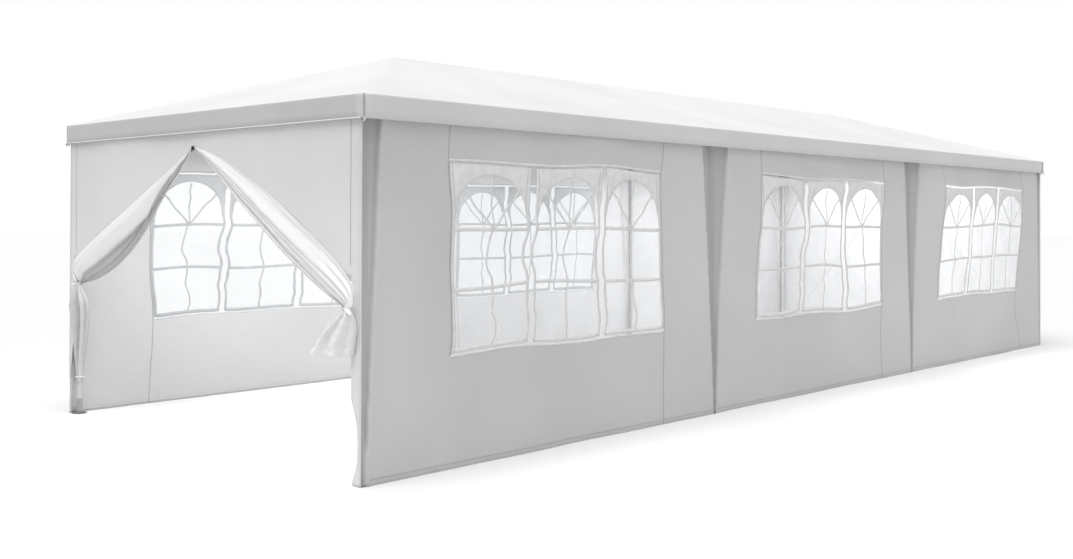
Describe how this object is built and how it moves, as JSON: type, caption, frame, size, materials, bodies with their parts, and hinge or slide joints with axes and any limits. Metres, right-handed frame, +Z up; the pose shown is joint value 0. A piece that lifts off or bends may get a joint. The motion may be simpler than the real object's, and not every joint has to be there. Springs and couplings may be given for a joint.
{
  "type": "party tent canopy",
  "caption": "Long hip-roofed tent on a slip-together steel tube frame, with a valance, windowed side walls and zipped door walls, one door tied open.",
  "frame": {"origin": "centre of the footprint, on the ground below the middle of the ridge", "axes": "+X along the tent from the open front door to the closed back door, +Y to the left of someone walking in at the front, +Z up"},
  "size_m": [9.03, 3.03, 2.345],
  "materials": {
    "frame_steel": "powder coated, satin",
    "joint_steel": "powder coated, satin",
    "roof_cloth": "coated woven sheet",
    "wall_cloth": "coated woven sheet",
    "clear_sheet": "clear flexible sheet",
    "zip_metal": "dark enamelled"
  },
  "bodies": {
    "tent": {"back_door_wall": "wall_cloth", "corner_joint_back_left": "joint_steel", "corner_joint_back_right": "joint_steel", "corner_joint_front_left": "joint_steel", "corner_joint_front_right": "joint_steel", "eave_joint_left_2": "joint_steel", "eave_joint_left_3": "joint_steel", "eave_joint_right_2": "joint_steel", "eave_joint_right_3": "joint_steel", "eave_tube_back": "frame_steel", "eave_tube_front": "frame_steel", "eave_tube_left_1": "frame_steel", "eave_tube_left_2": "frame_steel", "eave_tube_left_3": "frame_steel", "eave_tube_right_1": "frame_steel", "eave_tube_right_2": "frame_steel", "eave_tube_right_3": "frame_steel", "front_door_wall": "wall_cloth", "hip_rafter_back_left": "frame_steel", "hip_rafter_back_right": "frame_steel", "hip_rafter_front_left": "frame_steel", "hip_rafter_front_right": "frame_steel", "leg_left_1": "frame_steel", "leg_left_2": "frame_steel", "leg_left_3": "frame_steel", "leg_left_4": "frame_steel", "leg_right_1": "frame_steel", "leg_right_2": "frame_steel", "leg_right_3": "frame_steel", "leg_right_4": "frame_steel", "rafter_left_2": "frame_steel", "rafter_left_3": "frame_steel", "rafter_right_2": "frame_steel", "rafter_right_3": "frame_steel", "ridge_end_joint_back": "joint_steel", "ridge_end_joint_front": "joint_steel", "ridge_joint_2": "joint_steel", "ridge_joint_3": "joint_steel", "ridge_tube_1": "frame_steel", "ridge_tube_2": "frame_steel", "ridge_tube_3": "frame_steel", "roof_cover": "roof_cloth", "side_wall_left_1": "wall_cloth", "side_wall_left_2": "wall_cloth", "side_wall_left_3": "wall_cloth", "side_wall_right_1": "wall_cloth", "side_wall_right_2": "wall_cloth", "side_wall_right_3": "wall_cloth", "window_pane_left_1": "clear_sheet", "window_pane_left_2": "clear_sheet", "window_pane_left_3": "clear_sheet", "window_pane_right_1": "clear_sheet", "window_pane_right_2": "clear_sheet", "window_pane_right_3": "clear_sheet"},
    "back_flap_left": {"back_door_flap_left": "wall_cloth"},
    "back_flap_right": {"back_door_flap_right": "wall_cloth"},
    "back_slider": {"back_zip_slider": "zip_metal"},
    "back_pull": {"back_zip_pull": "zip_metal"},
    "front_slider": {"front_zip_slider": "zip_metal"},
    "front_pull": {"front_zip_pull": "zip_metal"}
  },
  "joints": [
    {"name": "back_left_flap_fold", "type": "hinge", "parent": "tent", "child": "back_flap_left", "pos_m": [4.5, 0.006, 1.692], "axis": [0, -0.6368, 0.7711], "range_deg": [0, 150]},
    {"name": "back_right_flap_fold", "type": "hinge", "parent": "tent", "child": "back_flap_right", "pos_m": [4.5, -0.006, 1.692], "axis": [0, -0.6368, -0.7711], "range_deg": [0, 150]},
    {"name": "back_zip_travel", "type": "slide", "parent": "tent", "child": "back_slider", "axis": [0, 0, 1], "range_m": [0, 1.634]},
    {"name": "back_zip_pull_swing", "type": "hinge", "parent": "back_slider", "child": "back_pull", "pos_m": [4.506, 0, 0.054], "axis": [0, -1, 0], "range_deg": [0, 110]},
    {"name": "front_zip_travel", "type": "slide", "parent": "tent", "child": "front_slider", "axis": [0, 0, 1], "range_m": [-0.015, 0]},
    {"name": "front_zip_pull_swing", "type": "hinge", "parent": "front_slider", "child": "front_pull", "pos_m": [-4.506, 0, 1.687], "axis": [0, 1, 0], "range_deg": [0, 110]}
  ],
  "couplings": [
    {"joint": "back_right_flap_fold", "follows": "back_left_flap_fold", "ratio": 1},
    {"joint": "back_zip_travel", "follows": "back_left_flap_fold", "m_per_rad": 0.6238}
  ]
}
